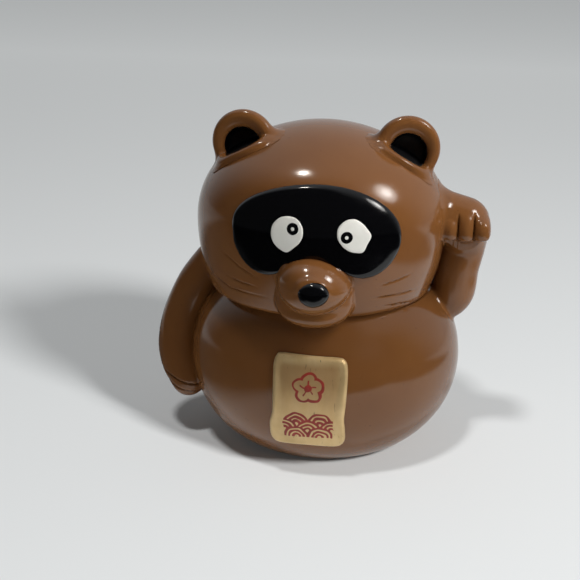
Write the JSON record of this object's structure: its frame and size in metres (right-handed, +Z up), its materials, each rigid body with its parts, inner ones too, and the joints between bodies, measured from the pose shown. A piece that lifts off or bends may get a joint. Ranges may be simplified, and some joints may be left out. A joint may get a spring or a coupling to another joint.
{
  "type": "tanuki statue",
  "caption": "Glazed ceramic raccoon dog figure with a round body, a masked face, a gilt belly plaque and a raised beckoning paw; stands on a flat foot as a shelf ornament.",
  "frame": {"origin": "centre of the drain hole in the foot, on the table plane", "axes": "+Z up; the figure looks along -Y; its raised left paw is at +X"},
  "size_m": [0.1236, 0.1237, 0.1269],
  "materials": {
    "brown_glaze": "glossy chocolate-brown glaze over slip-cast earthenware",
    "black_enamel": "glossy black overglaze enamel",
    "white_enamel": "satin off-white overglaze enamel",
    "gold_lustre": "brushed-on gold lustre over glaze, worn, with red brushwork"
  },
  "bodies": {
    "root": {"torso_shell": "brown_glaze", "head_shell": "brown_glaze", "right_ear": "brown_glaze", "left_ear": "brown_glaze", "muzzle": "brown_glaze", "lower_jaw": "brown_glaze", "raised_arm": "brown_glaze", "lowered_arm": "brown_glaze", "tail": "brown_glaze", "eye_mask": "black_enamel", "nose_tip": "black_enamel", "right_ear_lining": "black_enamel", "left_ear_lining": "black_enamel", "right_pupil": "black_enamel", "left_pupil": "black_enamel", "right_eye": "white_enamel", "left_eye": "white_enamel", "right_glint": "white_enamel", "left_glint": "white_enamel", "belly_plaque": "gold_lustre"}
  },
  "joints": []
}
